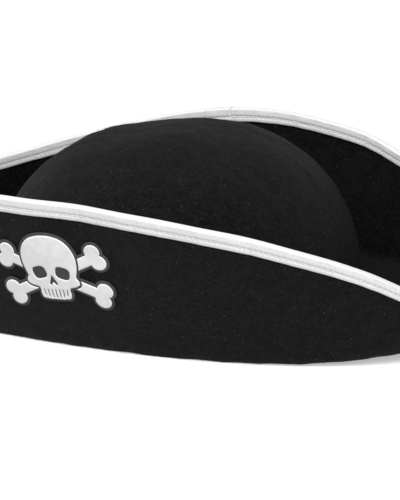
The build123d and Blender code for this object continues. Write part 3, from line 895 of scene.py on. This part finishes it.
@dataclass
class FeltNap:
    """Loose fibres that stand off the felt, thickest where a fold opens it up."""

    shape: Hood
    length: float = 1.5
    radius: float = 0.035
    spread: float = 0.45  # of the lengths, as the deviation of their logarithm
    taper: tuple[float, float, float] = (1.0, 0.85, 0.35)
    crown_fibres: int = 9000
    crown_bare: float = 9.0  # no nap below this, where the crown meets the brim
    flap_fibres: int = 3500  # on each of a flap's fold, outside and inside
    fold_band: float = 4.0
    bare_edge: float = 8.0  # what the tape covers has no nap
    seed: int = 5

    def fibres(self, name: str, felt: bpy.types.Material, root: Array, out: Array) -> bpy.types.Object:
        """Grows a bent fibre on each point.

        A fibre rises as 0.75 t - 0.55 t squared, leans over by 0.8 t and curls
        sideways with t squared.

        Args:
            name: The piece's name.
            felt: The finish.
            root: Points on the felt, in millimetres.
            out: The felt's outward directions there.

        Returns:
            The piece.
        """
        rng = np.random.default_rng(self.seed + len(root))
        lean = unit(rng.normal(size=root.shape))
        lean = unit(lean - out * (lean * out).sum(-1, keepdims=True))
        curl = unit(np.cross(out, lean)) * rng.normal(0, 0.35, (len(root), 1))
        reach = self.length * rng.lognormal(0, self.spread, (len(root), 1, 1))
        t = np.linspace(0, 1, len(self.taper))[None, :, None]
        rise = 0.75 * t - 0.55 * t * t
        spine = root[:, None] - 0.15 * out[:, None] + reach * (
            out[:, None] * rise + lean[:, None] * t * 0.8 + curl[:, None] * t * t
        )
        parts = MeshParts()
        parts.tubes(spine, self.radius * np.array(self.taper), 3)
        return parts.build(name, felt)

    def scatter(
        self, angles: tuple[float, float], inward: Callable[[Array, Array], Array], face: int
    ) -> tuple[Array, Array]:
        """Picks random points on a stretch of the brim.

        Args:
            angles: Where the stretch starts and ends.
            inward: Gives lengths in from the edge, from angles and values of 0 to 1.
            face: 1 for the underside and outside of the felt, and -1 for its other face.

        Returns:
            The points, and the felt's outward directions there.
        """
        rng = np.random.default_rng(self.seed)
        angle = rng.uniform(*angles, self.flap_fibres)
        depth = inward(angle, rng.uniform(0, 1, self.flap_fibres))[:, None]
        out = face * self.shape.normal(angle, depth)[:, 0]
        root = self.shape.lifted(angle, depth, face * self.shape.felt / 2)[:, 0]
        return root, out

    def fold_depth(self, angle: Array) -> Array:
        """The length from the edge in to the corner of the fold."""
        return np.linalg.norm(self.shape.edge(angle) - self.shape.fold(angle), axis=1)

    def near_fold(self, angle: Array, t: Array) -> Array:
        """Lengths in from the edge to a band along the fold."""
        return self.fold_depth(angle) + self.fold_band * (t - 0.5)

    def up_flap(self, angle: Array, t: Array) -> Array:
        """Lengths in from the edge to anywhere on the flap below its tape."""
        return self.bare_edge + (self.fold_depth(angle) - self.bare_edge) * t

    def crown(self, felt: bpy.types.Material) -> bpy.types.Object:
        """Grows the nap of the crown, with its fibres spread from its foot to its top.

        Args:
            felt: The finish.

        Returns:
            The piece.
        """
        hood = self.shape
        rng = np.random.default_rng(self.seed)
        angle = rng.uniform(-np.pi, np.pi, self.crown_fibres)
        turn = rng.uniform(0.0, 1.0, self.crown_fibres)
        climb = hood.crown_height - self.crown_bare - 0.2
        height = self.crown_bare + climb * turn**0.8
        root = hood.wall(angle, height[:, None], 0.0)[:, 0]
        out = unit(root / np.array([hood.crown_half_width, hood.crown_half_depth, hood.crown_height]) ** 2)
        return self.fibres("crown_nap", felt, root - out * hood.waviness(root)[:, None], out)

    def build(self, felt: bpy.types.Material) -> list[bpy.types.Object]:
        """Grows the nap of the crown, and of the outside and inside of each flap.

        Args:
            felt: The finish.

        Returns:
            The three pieces.
        """
        pieces = [finish_piece(self.crown(felt), [])]
        for side in Side:
            half = HALF_TURNS[side]
            stretches = [(self.near_fold, 1), (self.up_flap, 1), (self.up_flap, -1)]
            grown = [self.scatter(half, inward, face) for inward, face in stretches]
            root, out = (np.concatenate(both) for both in zip(*grown))
            piece = self.fibres(side.name.lower() + "_flap_nap", felt, root, out)
            pieces.append(finish_piece(piece, [], FLEX[side]))
        return pieces


# ---------------------------------------------------------------- bound edge


@dataclass
class BoundEdge:
    """White tape folded over the brim's edge and stitched through in one row."""

    shape: Hood
    width: float = 6.5
    tape: float = 0.7
    puff: float = 0.42
    groove_place: float = 3.7  # in from the edge to the stitches
    groove_width: float = 0.75
    groove_depth: float = 0.62
    pitch: float = 2.7
    step: float = 0.6
    thread: float = 0.27
    sway: float = 0.022  # of the width
    sway_length: float = 26.0
    wrinkles: tuple = ((0.10, 9.0, 15), (0.06, 3.6, 16))  # each one's depth, length and seed
    # Where the leg's points lie, from its inner edge to the felt's edge: close at the groove.
    leg_places: tuple = (
        7.5, 7.42, 7.2, 6.7, 6.1, 5.5, 5.0, 4.7, 4.4, 4.1, 3.8, 3.5, 3.2, 2.7, 2.1, 1.4, 0.7,
    )
    over: float = 0.85  # how far the fold of the tape stands past the felt's edge
    tip_split: float = 172.0
    join_place: float = -32.0
    join_length: float = 14.0
    join_lift: float = 0.5
    join_widen: float = 0.4

    def profile(self) -> tuple[Array, Array]:
        """The tape's outer line across the felt: lengths in from the edge and lifts.

        It climbs the outside leg from the tape's inner edge, turns over the felt's
        edge as half an ellipse, and goes down the inside leg. Lifts on the inside
        are under 0.

        Returns:
            The lengths in, and the lifts off the felt's middle.
        """
        leg = np.array(self.leg_places) * self.width / self.leg_places[0]
        puffed = np.sqrt(np.clip(np.sin(np.pi * np.clip(leg / self.width, 0.02, 1) ** 0.9), 0, 1))
        lift = self.shape.felt / 2 + self.tape + self.puff * puffed
        lift[0], lift[1] = self.shape.felt / 2 + 0.1, self.shape.felt / 2 + 0.55
        turn = np.linspace(0, np.pi, 11)
        radius = self.shape.felt / 2 + self.tape + 0.25
        over_in = -self.over * np.sin(turn)
        over_lift = radius * np.cos(turn)
        inward = np.concatenate([leg, over_in, leg[::-1]])
        return inward, np.concatenate([lift, over_lift, -lift[::-1]])

    def strip(
        self,
        name: str,
        tape: bpy.types.Material,
        start: float,
        end: float,
        extra: float = 0.0,
        widen: float = 0.0,
    ) -> bpy.types.Object:
        """Makes a stretch of tape: the profile carried along the edge.

        The width sways, the face wrinkles, and the seam pulls it into a groove that is
        deepest at each stitch's end.

        Args:
            name: The piece's name.
            tape: Its finish.
            start: The angle where it starts.
            end: The angle where it ends.
            extra: Added to the lift on both faces, to lap over another stretch.
            widen: Added to the width.

        Returns:
            The piece.
        """
        angle, length = self.shape.even_angles(start, end, self.step)
        if start > -np.pi:
            length = length + self.shape.even_angles(-np.pi, start, self.step)[1][-1]
        inward, lift = self.profile()
        spots = self.shape.edge(angle)
        wave = waves(spots, self.sway_length, 12)
        sway = 1 + (self.sway * wave + widen / self.width)[:, None] * (inward > 0.3)
        inward = inward * sway
        wrinkle = sum(deep * waves(spots, reach, seed)[:, None] for deep, reach, seed in self.wrinkles)
        stitch = 0.72 + 0.28 * np.cos(2 * np.pi * length / self.pitch)[:, None]
        dip = np.exp(-(((inward - self.groove_place) / self.groove_width) ** 2))
        sign = np.sign(lift)
        body = np.abs(lift) + wrinkle * (inward > 0.3) * (inward < 7.1) - self.groove_depth * dip * stitch
        outer_lift = sign * (body + extra * np.clip(np.abs(lift) / 1.2, 0, 1))
        outer_in = np.where(inward < 0, inward - extra * 0.8, inward)
        outer = self.shape.lifted(angle, outer_in, outer_lift)
        inner_lift = sign * (self.shape.felt / 2 - 0.25 + extra)
        inner = self.shape.lifted(angle, np.where(inward < 0, 0.0 * inward - extra, inward), inner_lift)
        steps = np.linalg.norm(np.diff(outer[len(angle) // 2], axis=0), axis=1)
        across = np.concatenate([[0], np.cumsum(steps)])
        uv = np.stack(np.meshgrid(length, across, indexing="ij"), -1)
        parts = MeshParts()
        parts.shell(outer, inner, None, None, closed=False, pole=False, uv=uv, flip=True)
        return parts.build(name, tape)

    def stitches(self, name: str, thread: bpy.types.Material, start: float, end: float) -> bpy.types.Object:
        """Makes the lock stitches that show in the groove, on both faces.

        Args:
            name: The piece's name.
            thread: Its finish.
            start: The angle where the row starts.
            end: The angle where it ends.

        Returns:
            The piece.
        """
        angle, _ = self.shape.even_angles(start, end, self.pitch)
        middle = (angle[1:] + angle[:-1]) / 2
        half = np.diff(angle) / 2
        floor = self.shape.felt / 2 + self.tape + self.puff - self.groove_depth
        place = np.full((len(middle), 1), self.groove_place)
        parts = MeshParts()
        for face in (1, -1):
            spine = []
            for share, sink in ((-0.8, 0.34), (-0.62, 0.12), (0.0, 0.0), (0.62, 0.12), (0.8, 0.34)):
                lift = face * (floor + 0.30 - sink)
                spine.append(self.shape.lifted(middle + half * share, place, lift))
            parts.tubes(np.concatenate(spine, 1), self.thread * np.array(STITCH_TAPER), 7)
        return parts.build(name, thread)

    def angle_at(self, x: float, side: Side) -> float:
        """The angle at which the edge crosses a place along the hat."""
        return side.value * math.acos(x / self.shape.edge_half_length)

    def build(self, tape: bpy.types.Material, thread: bpy.types.Material) -> list[bpy.types.Object]:
        """Makes the tape and stitches of both flaps and both tips, and the tape's lap.

        Args:
            tape: The tape's finish.
            thread: The stitches' finish.

        Returns:
            The nine pieces.
        """
        tip = self.angle_at(self.tip_split, Side.BACK)
        spans = {
            "right_tip": (-tip, tip, None),
            "back": (tip, np.pi - tip, FLEX[Side.BACK]),
            "left_tip": (np.pi - tip, np.pi + tip, None),
            "front": (tip - np.pi, -tip, FLEX[Side.FRONT]),
        }
        pieces = []
        for name, (start, end, flex) in spans.items():
            strip = self.strip(name + "_binding_tape", tape, start, end)
            row = self.stitches(name + "_stitches", thread, start, end)
            pieces.append(finish_piece(strip, [name + "_binding"], flex))
            pieces.append(finish_piece(row, [name + "_seam_thread"], flex))
        near = self.angle_at(self.join_place + self.join_length / 2, Side.BACK)
        far = self.angle_at(self.join_place - self.join_length / 2, Side.BACK)
        lap = self.strip("binding_join_tape", tape, near, far, self.join_lift, self.join_widen)
        pieces.append(finish_piece(lap, ["binding_join"], FLEX[Side.BACK]))
        return pieces


# ---------------------------------------------------------------- badge


@dataclass(frozen=True)
class Outline:
    """A closed line in the badge's plane, in millimetres, as an array of points."""

    points: Array

    @staticmethod
    def smooth_through(corners: list[tuple[float, float]], steps: int = 10) -> "Outline":
        """A closed line that bends smoothly through its corners.

        Between two corners it is a cubic whose direction at each one is that from the
        corner before it to the corner after it.

        Args:
            corners: The corners in order.
            steps: How many points stand for each stretch.

        Returns:
            The line.
        """
        p1 = np.array(corners, float)
        p0, p2, p3 = np.roll(p1, 1, 0), np.roll(p1, -1, 0), np.roll(p1, -2, 0)
        t = (np.arange(steps) / steps)[None, :, None]
        a, b, c, d = (p[:, None] for p in (p0, p1, p2, p3))
        curve = b + 0.5 * t * (c - a + t * (2 * a - 5 * b + 4 * c - d + t * (3 * (b - c) + d - a)))
        return Outline(curve.reshape(-1, 2))

    @staticmethod
    def oval(
        centre: tuple[float, float], width: float, height: float, turn: float, power: float
    ) -> "Outline":
        """A superellipse: round for a power of 2, and squarer above it.

        Args:
            centre: Its middle.
            width: Across, before it is turned.
            height: Upwards, before it is turned.
            turn: Degrees counterclockwise.
            power: The power to which its shares add up to one.

        Returns:
            The line.
        """
        t = np.linspace(0, 2 * np.pi, 48, endpoint=False)
        x = width / 2 * np.sign(np.cos(t)) * np.abs(np.cos(t)) ** (2 / power)
        y = height / 2 * np.sign(np.sin(t)) * np.abs(np.sin(t)) ** (2 / power)
        return Outline(np.stack([x, y], 1)).turned(turn).moved(*centre)

    def turned(self, degrees: float) -> "Outline":
        """The line turned counterclockwise about the origin."""
        c, s = math.cos(math.radians(degrees)), math.sin(math.radians(degrees))
        return Outline(self.points @ np.array([[c, s], [-s, c]]))

    def moved(self, x: float, y: float) -> "Outline":
        """The line moved in its plane."""
        return Outline(self.points + (x, y))

    def squeezed(self, share: float) -> "Outline":
        """The line with its width cut to a share."""
        return Outline(self.points * (share, 1.0))

    def grown(self, margin: float) -> "Outline":
        """The line moved outwards by a margin, along its own normals."""
        along = np.roll(self.points, -1, 0) - np.roll(self.points, 1, 0)
        x, y = self.points.T
        area = (x * np.roll(y, -1) - y * np.roll(x, -1)).sum()
        out = unit(np.stack([along[:, 1], -along[:, 0]], 1)) * math.copysign(1, area)
        return Outline(self.points + out * margin)

    def holds(self, spots: Array) -> Array:
        """Says which points are inside, by how often the line winds round each.

        Args:
            spots: Points of the plane.

        Returns:
            A true or false for each point.
        """
        a = self.points[None] - spots[:, None]
        b = np.roll(self.points, -1, 0)[None] - spots[:, None]
        cross = a[..., 0] * b[..., 1] - a[..., 1] * b[..., 0]
        upward = (a[..., 1] <= 0) & (b[..., 1] > 0) & (cross > 0)
        downward = (a[..., 1] > 0) & (b[..., 1] <= 0) & (cross < 0)
        return (upward.sum(1) - downward.sum(1)) != 0

    def evened(self, step: float) -> "Outline":
        """The same line with its points a step apart."""
        ring = np.vstack([self.points, self.points[:1]])
        so_far = np.concatenate([[0], np.cumsum(np.linalg.norm(np.diff(ring, axis=0), axis=1))])
        marks = np.linspace(0, so_far[-1], max(8, round(so_far[-1] / step)), endpoint=False)
        return Outline(np.stack([np.interp(marks, so_far, ring[:, i]) for i in (0, 1)], 1))


@dataclass
class Badge:
    """A skull over two crossed bones, printed thick in white on a dark backing."""

    shape: Hood
    height_in: float = 32.8  # from the flap's edge to the skull's centre
    offset: float = 3.0
    scale: float = 0.925
    slim: float = 0.935
    tilt: float = 4.0
    grid: float = 0.5
    margin: float = 1.5
    bone_gap: float = 1.1
    bone_half: float = 28.0
    bone_place: tuple[float, float] = (1.4, -4.3)
    bone_slopes: tuple[float, float] = (24.0, -21.0)
    knob: float = 4.0
    knob_place: float = 3.2
    # Lifts of the underside and top off the felt, and how far in the rounded border goes.
    backing_relief: tuple[float, float, float] = (0.1, 0.6, 0.3)
    print_relief: tuple[float, float, float] = (0.55, 1.0, 0.35)

    def skull(self) -> list[Outline]:
        """The skull's outline: a round cranium, flared cheeks and a square jaw."""
        right = [
            (4.6, 18.0), (9.8, 16.2), (14.0, 12.4), (16.3, 7.2), (16.6, 2.0), (15.6, -2.6), (14.9, -5.0),
            (16.2, -7.2), (16.0, -9.2), (13.4, -10.6), (10.4, -11.3), (9.3, -12.6), (9.4, -15.4),
            (8.4, -17.6), (5.0, -18.2),
        ]
        left = [(-x, y) for x, y in reversed(right)]
        return [Outline.smooth_through([(0.0, 18.4), *right, (0.0, -18.3), *left], 8).squeezed(self.slim)]

    def holes(self) -> list[Outline]:
        """The eyes, the nose and the slits between the teeth."""
        right = [(1.3, -6.6), (2.4, -9.2), (1.5, -10.0)]
        left = [(-x, y) for x, y in reversed(right)]
        found = [Outline.smooth_through([(0.0, -4.4), *right, (0.0, -8.4), *left], 6)]
        for side in (-1, 1):
            found.append(Outline.oval((side * 7.1, -2.9), 8.6, 7.0, -14 * side, 3.0))
        for i in range(-3, 4):
            slit = Outline.oval((0.0, 0.0), 0.62 if i else 0.72, 5.0 - 0.12 * i * i, 0, 4.0)
            found.append(slit.turned(-1.5 * i).moved(2.35 * i, -15.0 + 0.06 * i * i))
        return [line.squeezed(self.slim) for line in found]

    def bones(self, margin: float = 0.0) -> list[Outline]:
        """Two crossed bones, each a waisted bar with two round knobs at either end.

        Args:
            margin: How far the outlines are moved outwards.

        Returns:
            The bars' and knobs' lines, which overlap.
        """
        half, size = self.bone_half, 2 * self.knob
        bar = [(-half, 3.0), (-half / 2, 2.9), (0, 3.1), (half / 2, 2.9), (half, 3.0)]
        bar += [(x, -y) for x, y in reversed(bar)]
        shapes = [Outline(np.array(bar, float)).evened(0.5)]
        for end in (-half, half):
            for side in (-self.knob_place, self.knob_place):
                shapes.append(Outline.oval((end, side), size * 1.1, size, 0, 2.0))
        return [
            shape.grown(margin).turned(slope).moved(*self.bone_place)
            for slope in self.bone_slopes
            for shape in shapes
        ]

    def laid(self, flat: Array, lift: Array) -> Array:
        """Lays points of the badge's plane on the front flap, at a lift off the felt."""
        c, s = math.cos(math.radians(self.tilt)), math.sin(math.radians(self.tilt))
        across = (flat[:, 0] * c - flat[:, 1] * s) * self.scale + self.offset
        up = (flat[:, 0] * s + flat[:, 1] * c) * self.scale
        angle = np.arcsin(across / (self.shape.edge_half_length - 1.5)) - np.pi / 2
        inward = (self.height_in - up)[:, None]
        return self.shape.lifted(angle, inward, (self.shape.felt / 2 + lift)[:, None])[:, 0]

    def plate(
        self,
        name: str,
        material: bpy.types.Material,
        solid: list[Outline],
        cut: list[Outline],
        relief: tuple[float, float, float],
    ) -> bpy.types.Object:
        """Makes a thin raised shape with rounded edges.

        The plane is divided into triangles that keep to the lines, and those inside
        the shape are kept. The top climbs from the border as a quarter circle.

        Args:
            name: The piece's name.
            material: Its finish.
            solid: Lines whose insides make up the shape.
            cut: Lines whose insides are left out of it.
            relief: The underside's lift, the top's lift and the border's rounding.

        Returns:
            The piece.
        """

        def inside(spots: Array) -> Array:
            """Says which points belong to the shape."""
            return self.covered(solid, spots) & ~self.covered(cut, spots)

        lines = solid + cut
        low, high, round_off = relief
        lines = [line.evened(self.grid * 0.8) for line in lines]
        border = np.concatenate([line.points for line in lines])
        lo, hi = border.min(0) - 0.1, border.max(0) + 0.1
        x, y = np.meshgrid(np.arange(lo[0], hi[0], self.grid), np.arange(lo[1], hi[1], self.grid * 0.87))
        x = x + self.grid / 2 * (np.arange(len(x)) % 2)[:, None]
        fill = np.stack([x.ravel(), y.ravel()], 1)
        fill = fill[inside(fill)]
        fill = fill[self.distance(fill, border) > self.grid * 0.5]
        edges, count = [], 0
        for line in lines:
            ring = np.arange(len(line.points)) + count
            edges += np.stack([ring, np.roll(ring, -1)], 1).tolist()
            count += len(line.points)
        spots = [Vector(p) for p in np.concatenate([border, fill]).tolist()]
        spots, _, faces, _, _, _ = delaunay_2d_cdt(spots, edges, [], 0, 1e-5)
        flat = np.array([(p.x, p.y) for p in spots])
        faces = np.array(faces)
        faces = faces[inside(flat[faces].mean(1))]
        a, b, c = (flat[faces[:, i]] for i in range(3))
        twice = (b[:, 0] - a[:, 0]) * (c[:, 1] - a[:, 1]) - (b[:, 1] - a[:, 1]) * (c[:, 0] - a[:, 0])
        faces = faces[np.abs(twice) > 1e-9]
        faces = np.where(twice[np.abs(twice) > 1e-9][:, None] > 0, faces, faces[:, ::-1])
        sides = np.concatenate([faces[:, [0, 1]], faces[:, [1, 2]], faces[:, [2, 0]]])
        known = set(map(tuple, sides.tolist()))
        rim = np.array([s for s in sides.tolist() if (s[1], s[0]) not in known])
        on_rim = np.zeros(len(flat), bool)
        on_rim[rim.ravel()] = True
        reach = np.clip(self.distance(flat, flat[on_rim]) / round_off, 0, 1)
        top = low + (high - low) * (0.45 + 0.55 * np.sqrt(1 - (1 - reach) ** 2))
        upper = self.laid(flat, top)
        under = self.laid(flat, np.full(len(flat), low))
        count = len(flat)
        walls = np.stack([rim[:, 1], rim[:, 0], rim[:, 0] + count, rim[:, 1] + count], 1)
        doubled = [np.hstack([f, f[:, :1]]) for f in (faces, faces[:, ::-1] + count)]
        parts = MeshParts()
        uv = np.concatenate([flat, flat])
        parts.add(np.concatenate([upper, under]), np.concatenate([*doubled, walls]), uv)
        return parts.build(name, material)

    @staticmethod
    def covered(lines: list[Outline], spots: Array) -> Array:
        """Says which points are inside at least one of the lines."""
        return np.any([np.zeros(len(spots), bool), *(line.holds(spots) for line in lines)], axis=0)

    @staticmethod
    def distance(spots: Array, border: Array) -> Array:
        """How far each point is from the nearest point of a border.

        Args:
            spots: The points.
            border: The border's points.

        Returns:
            One length for each of the spots.
        """
        blocks = np.array_split(spots, len(spots) // 1000 + 1)
        return np.concatenate([np.linalg.norm(b[:, None] - border, axis=2).min(1) for b in blocks])

    def build(self, backing: bpy.types.Material, print_: bpy.types.Material) -> list[bpy.types.Object]:
        """Makes the backing, the skull and the four bone ends.

        Args:
            backing: The backing's finish.
            print_: The finish of what is printed on it.

        Returns:
            The three pieces.
        """
        skull, holes, bones = self.skull(), self.holes(), self.bones()
        wide = [line.grown(self.margin) for line in skull] + self.bones(self.margin)
        gap = [line.grown(self.bone_gap) for line in skull]
        plates = (
            ("badge_backing", "_sheet", "badge_backing", backing, wide, [], self.backing_relief),
            ("badge_skull", "_print", "badge_print", print_, skull, holes, self.print_relief),
            ("badge_bones", "_print", "badge_print", print_, bones, gap, self.print_relief),
        )
        made = []
        for node, ending, slot, material, solid, cut, relief in plates:
            piece = self.plate(node + ending, material, solid, cut, relief)
            made.append(finish_piece(piece, [node], FLEX[Side.FRONT]))
        return made


# ---------------------------------------------------------------- inside the crown


@dataclass
class Lining:
    """A ribbed ribbon stitched round the crown's inside, and a blank label at its back."""

    shape: Hood
    foot: float = 4.0
    height: float = 28.0
    inset: float = 2.35
    ribbon: float = 0.8
    rows: int = 25
    lap_place: float = -46.0
    lap_length: float = 16.0
    stitch_height: float = 8.5
    pitch: float = 3.2
    thread: float = 0.24
    label_width: float = 22.0
    label_drop: float = 20.0
    label_face: float = 94.0
    label: float = 0.28

    def ring(
        self, name: str, ribbon: bpy.types.Material, start: float, end: float, inset: float, slack: float
    ) -> bpy.types.Object:
        """Makes ribbon against the crown's side, between two angles.

        Args:
            name: The piece's name.
            ribbon: Its finish.
            start: The angle where it starts.
            end: The angle where it ends, a full turn on for a closed ring.
            inset: From the crown's outside to the ribbon's outer face.
            slack: How much the ribbon's edges stand in from the crown.

        Returns:
            The piece.
        """
        closed = end - start > 2 * np.pi - 0.01
        count = max(24, round((end - start) * 80))
        angle = np.linspace(start, end, count, endpoint=not closed)
        height = np.linspace(self.foot, self.foot + self.height, self.rows)
        layers = []
        for depth in (inset, inset + self.ribbon):
            spots = self.shape.wall(angle, height, depth)
            edge = np.abs(np.linspace(-1, 1, self.rows)) ** 6
            ease = slack * (edge * (1 + 0.6 * waves(spots, 30.0, 31)) + 0.25)
            inward = -unit(spots * (1, 1, 0))
            layers.append(spots + inward * ease[..., None])
        length = angle * self.shape.crown_half_depth
        uv = np.stack(np.meshgrid(length, height, indexing="ij"), -1)
        parts = MeshParts()
        parts.shell(layers[0], layers[1], None, None, closed=closed, pole=False, uv=uv)
        return parts.build(name, ribbon)

    def thread_row(self, thread: bpy.types.Material) -> bpy.types.Object:
        """Makes the row of stitches near the ribbon's foot.

        Args:
            thread: Its finish.

        Returns:
            The piece.
        """
        around = 2 * np.pi * (self.shape.crown_half_width + 4)
        angle = np.linspace(0, 2 * np.pi, round(around / self.pitch), endpoint=False)
        half = np.pi / len(angle)
        height = np.array([self.stitch_height])
        spine = []
        for share, sink in ((-0.75, 0.3), (-0.55, 0.1), (0.0, 0.0), (0.55, 0.1), (0.75, 0.3)):
            inset = self.inset + self.ribbon + 0.45 - sink
            spine.append(self.shape.wall(angle + half * share, height, inset))
        parts = MeshParts()
        parts.tubes(np.concatenate(spine, 1), self.thread * np.array(STITCH_TAPER), 6)
        return parts.build("sweatband_stitches", thread)

    def care_label(self, satin: bpy.types.Material) -> bpy.types.Object:
        """Makes the label: satin that hangs by its upper edge and curls a little.

        The curl grows with the square of the drop, and less so towards the sides.

        Args:
            satin: Its finish.

        Returns:
            The piece.
        """
        t, drop = np.linspace(-0.5, 0.5, 23), np.linspace(0, 1, 21)
        x, d = np.meshgrid(t, drop, indexing="ij")
        top = self.foot + self.height
        curl = 0.55 * d**2 - 0.25 * (2 * x) ** 2 * d + 0.12 * np.sin(6 * d + 2 * x)
        layers = []
        for side in (0.5, -0.5):
            y = self.label_face - curl + side * self.label
            layers.append(np.stack([x * self.label_width, y, top - d * self.label_drop], -1))
        uv = np.stack([x * self.label_width, d * self.label_drop], -1)
        parts = MeshParts()
        parts.shell(layers[1], layers[0], None, None, closed=False, pole=False, uv=uv)
        return parts.build("care_label_satin", satin)

    def build(
        self, ribbon: bpy.types.Material, thread: bpy.types.Material, satin: bpy.types.Material
    ) -> list[bpy.types.Object]:
        """Makes the ribbon, the lap of its ends, its stitches and the label.

        Args:
            ribbon: The ribbon's finish.
            thread: The stitches' finish.
            satin: The label's finish.

        Returns:
            The four pieces.
        """
        band = self.ring("sweatband_ribbon", ribbon, 0, 2 * np.pi, self.inset, 0.25)
        middle = math.acos(self.lap_place / self.shape.crown_half_width)
        reach = self.lap_length / 2 / self.shape.crown_half_depth
        lap_inset = self.inset + self.ribbon + 0.2
        lap = self.ring("sweatband_lap_ribbon", ribbon, middle - reach, middle + reach, lap_inset, 0.3)
        label = self.care_label(satin)
        pieces = [
            finish_piece(band, ["sweatband"]),
            finish_piece(lap, ["sweatband_join"]),
            finish_piece(self.thread_row(thread), ["sweatband_thread"]),
            finish_piece(label, ["care_label"], body="care_label"),
        ]
        return pieces


# ---------------------------------------------------------------- studio


@dataclass
class Studio:
    """A pale floor, soft light from above and the camera in front of the hat."""

    floor_half: float = 3.0
    floor_glow: float = 0.45  # a lit table, so that the ground stays white
    azimuth: float = 28.88
    elevation: float = 14.25
    distance: float = 1.6495
    lens: float = 238.8
    aim_right: float = 0.01143
    aim_up: float = 0.01775
    aim_base: float = 0.0035
    world_strength: float = 0.5
    # Each light's place and the width of its square in metres, and its power in watts.
    key: tuple = ((1.1, -1.35, 1.3), 1.1, 45.0)
    fill: tuple = ((-1.5, -0.7, 1.2), 1.2, 20.0)
    look_height: float = 0.04

    def floor(self) -> None:
        """Lays a pale matt floor, which doesn't light the hat from below."""
        sockets = {
            "Base Color": srgb("f4f4f4"),
            "Roughness": 0.9,
            "Specular IOR Level": 0.1,
            "Emission Color": srgb("ffffff"),
            "Emission Strength": self.floor_glow,
        }
        material, _, _ = new_material("pale_paper_floor", sockets)
        h = self.floor_half
        mesh = bpy.data.meshes.new("floor")
        mesh.from_pydata([(-h, -h, 0), (h, -h, 0), (h, h, 0), (-h, h, 0)], [], [(0, 1, 2, 3)])
        mesh.materials.append(material)
        floor = bpy.data.objects.new("floor", mesh)
        bpy.context.scene.collection.objects.link(floor)
        floor.visible_diffuse = False

    def world(self) -> None:
        """Fills the surroundings with even white light."""
        world = bpy.data.worlds.new("white_studio")
        world.use_nodes = True
        background = world.node_tree.nodes["Background"]
        background.inputs[0].default_value = srgb("ffffff")
        background.inputs[1].default_value = self.world_strength
        bpy.context.scene.world = world

    def light(self, name: str, spot: tuple[float, float, float], size: float, power: float) -> None:
        """Hangs a soft square light that looks at the hat.

        Args:
            name: The light's name.
            spot: Its place, in metres.
            size: The width of its square.
            power: Its power in watts.
        """
        lamp = bpy.data.lights.new(name, "AREA")
        lamp.shape, lamp.size, lamp.energy = "SQUARE", size, power
        piece = bpy.data.objects.new(name, lamp)
        piece.location = spot
        piece.rotation_mode = "QUATERNION"
        piece.rotation_quaternion = (Vector((0, 0, self.look_height)) - Vector(spot)).to_track_quat("-Z", "Y")
        bpy.context.scene.collection.objects.link(piece)

    def camera(self) -> None:
        """Sets the camera on the line that comes back from its aim."""
        a, e = math.radians(self.azimuth), math.radians(self.elevation)
        back = Vector((math.sin(a) * math.cos(e), -math.cos(a) * math.cos(e), math.sin(e)))
        right = Vector((math.cos(a), math.sin(a), 0))
        up = back.cross(right)
        aim = right * self.aim_right + up * self.aim_up + Vector((0, 0, self.aim_base))
        lens = bpy.data.cameras.new("camera")
        lens.lens, lens.sensor_width, lens.sensor_fit = self.lens, 36.0, "AUTO"
        lens.clip_start, lens.clip_end = 0.1, 20
        camera = bpy.data.objects.new("camera", lens)
        camera.location = aim + back * self.distance
        camera.rotation_mode = "QUATERNION"
        camera.rotation_quaternion = (-back).to_track_quat("-Z", "Y")
        bpy.context.scene.collection.objects.link(camera)
        bpy.context.scene.camera = camera

    def build(self) -> None:
        """Sets up the floor, the lights and the camera."""
        self.floor()
        self.world()
        self.light("key_light", *self.key)
        self.light("fill_light", *self.fill)
        self.camera()
        bpy.context.scene.view_settings.view_transform = "Standard"


# ---------------------------------------------------------------- the whole hat


def main() -> None:
    """Builds the hat from the crown outwards, then the studio round it."""
    hood = Hood()
    felt = PressedFelt().make()
    tape = RibbedTape("woven_binding_tape", "e2e2e2", "bebebe").make()
    ribbon = RibbedTape("black_grosgrain", "26262a", "0c0c0e", rib_mm=1.1, depth_mm=0.12).make()
    white_thread = SpunThread("white_sewing_thread", "f2f2f2", "bdbdbd").make()
    black_thread = SpunThread("black_sewing_thread", "2c2c2e", "0e0e10").make()
    backing = SoftSheet("non_woven_sheet", "434343", "353535", 0.5, 0.85, 0.06).make()
    ink = SoftSheet("plastisol_print", "e4e4e4", "d9d9d9", 0.35, 0.55, 0.03).make()
    satin = SoftSheet("woven_satin", "ecebe8", "dddcd8", 0.3, 0.35, 0.03).make()
    FeltHood(hood).build(felt)
    FeltNap(hood).build(felt)
    BoundEdge(hood).build(tape, white_thread)
    Badge(hood).build(backing, ink)
    Lining(hood).build(ribbon, black_thread, satin)
    Studio().build()


if __name__ == "__main__":
    main()
